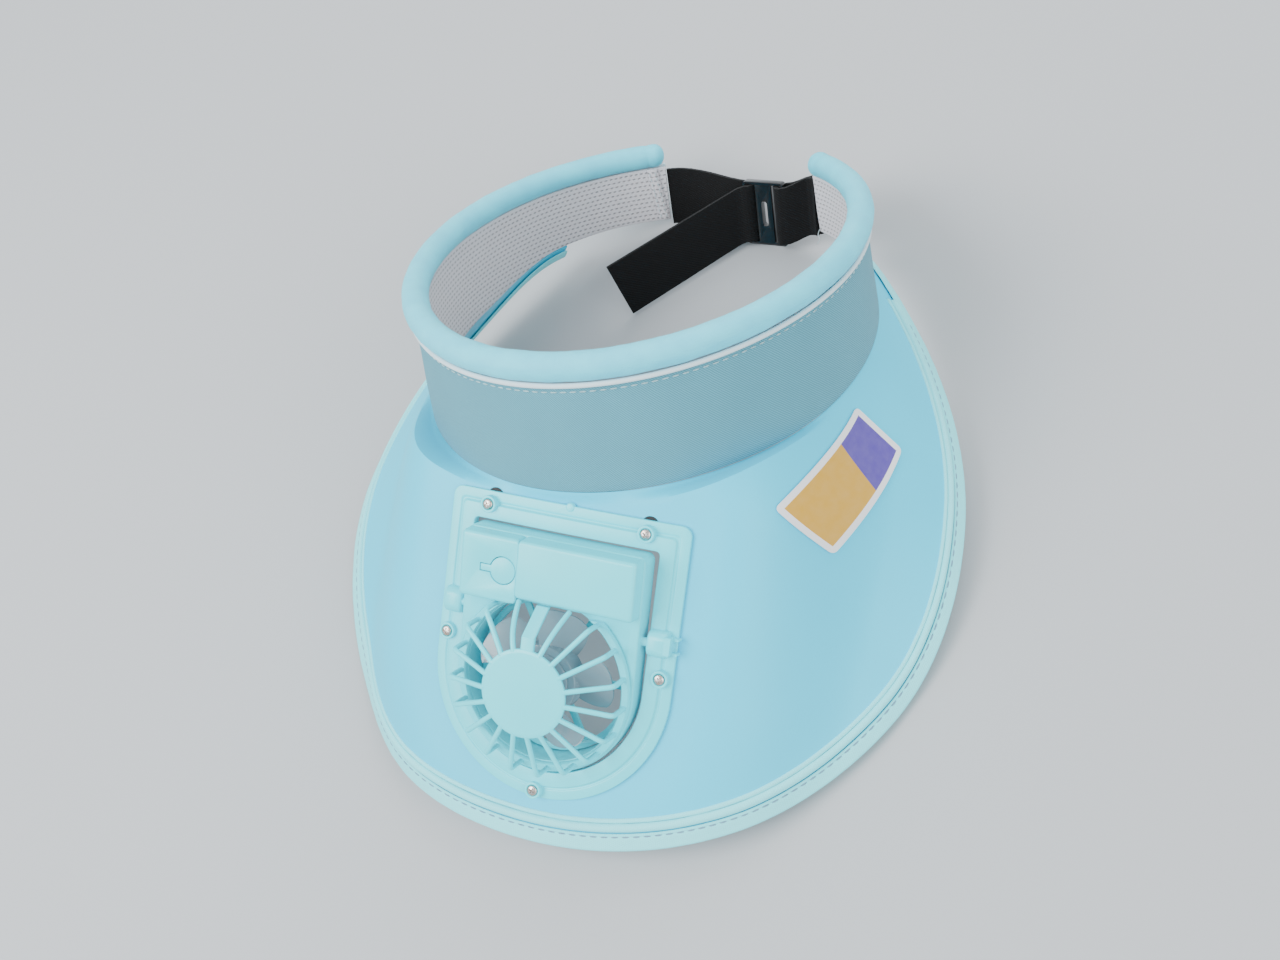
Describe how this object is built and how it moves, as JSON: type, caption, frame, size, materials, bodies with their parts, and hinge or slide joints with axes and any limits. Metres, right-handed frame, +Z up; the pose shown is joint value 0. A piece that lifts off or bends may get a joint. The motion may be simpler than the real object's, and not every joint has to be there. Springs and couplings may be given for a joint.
{
  "type": "fan sun hat",
  "caption": "Open-crown sun hat with a wide front brim, an adjustable head band and a tilting battery fan unit set in the brim.",
  "frame": {"origin": "on the surface that the hat rests on, below the middle of its bounding box", "axes": "+Z up from the surface, -Y towards the front of the brim with the fan, +X towards the label side"},
  "size_m": [0.2426, 0.2914, 0.1236],
  "materials": {
    "brim_sheet": "smooth light blue laminated sheet",
    "band_twill": "fine diagonal twill",
    "air_mesh": "grey spacer mesh",
    "satin_roll": "light blue satin over padding",
    "white_piping": "white piping",
    "binding_cloth": "pale cyan woven binding",
    "label_film": "bare printed film, yellow and violet with a white border",
    "black_webbing": "woven webbing with a loop-pile patch",
    "black_plastic": "glossy black moulding",
    "mint_plastic": "satin mint moulding",
    "blade_plastic": "smoky translucent moulding",
    "screw_steel": "plated cross-head screw"
  },
  "bodies": {
    "hat_body": {"band_outer": "band_twill", "band_lining": "air_mesh", "top_roll": "satin_roll", "band_piping": "white_piping", "brim": "brim_sheet", "brim_binding": "binding_cloth", "brim_piping": "binding_cloth", "brim_label": "label_film", "strap": "black_webbing", "buckle": "black_plastic", "buckle_tab": "black_webbing", "fan_bezel": "mint_plastic", "clamp_plate": "mint_plastic", "bezel_screw_1": "screw_steel", "bezel_screw_2": "screw_steel", "bezel_screw_3": "screw_steel", "bezel_screw_4": "screw_steel", "bezel_screw_5": "screw_steel"},
    "fan_module": {"module_housing": "mint_plastic", "module_cover": "mint_plastic", "front_grille": "mint_plastic", "motor_mount": "mint_plastic"},
    "fan_rotor": {"rotor": "blade_plastic"},
    "power_key": {"power_button": "mint_plastic"}
  },
  "joints": [
    {"name": "fan_tilt", "type": "hinge", "parent": "hat_body", "child": "fan_module", "pos_m": [-0.00169, -0.08148, 0.05593], "axis": [0.9952, -0.0818, -0.0533], "range_deg": [-30, 25]},
    {"name": "rotor_spin", "type": "hinge", "parent": "fan_module", "child": "fan_rotor", "pos_m": [-0.00358, -0.09594, 0.0429], "axis": [-0.0077, -0.6097, 0.7926], "continuous": true},
    {"name": "button_press", "type": "hinge", "parent": "fan_module", "child": "power_key", "pos_m": [-0.0236, -0.07189, 0.07432], "axis": [0.0973, 0.7884, 0.6074], "range_deg": [0, 3], "stiffness_Nm_per_rad": 0.13}
  ]
}
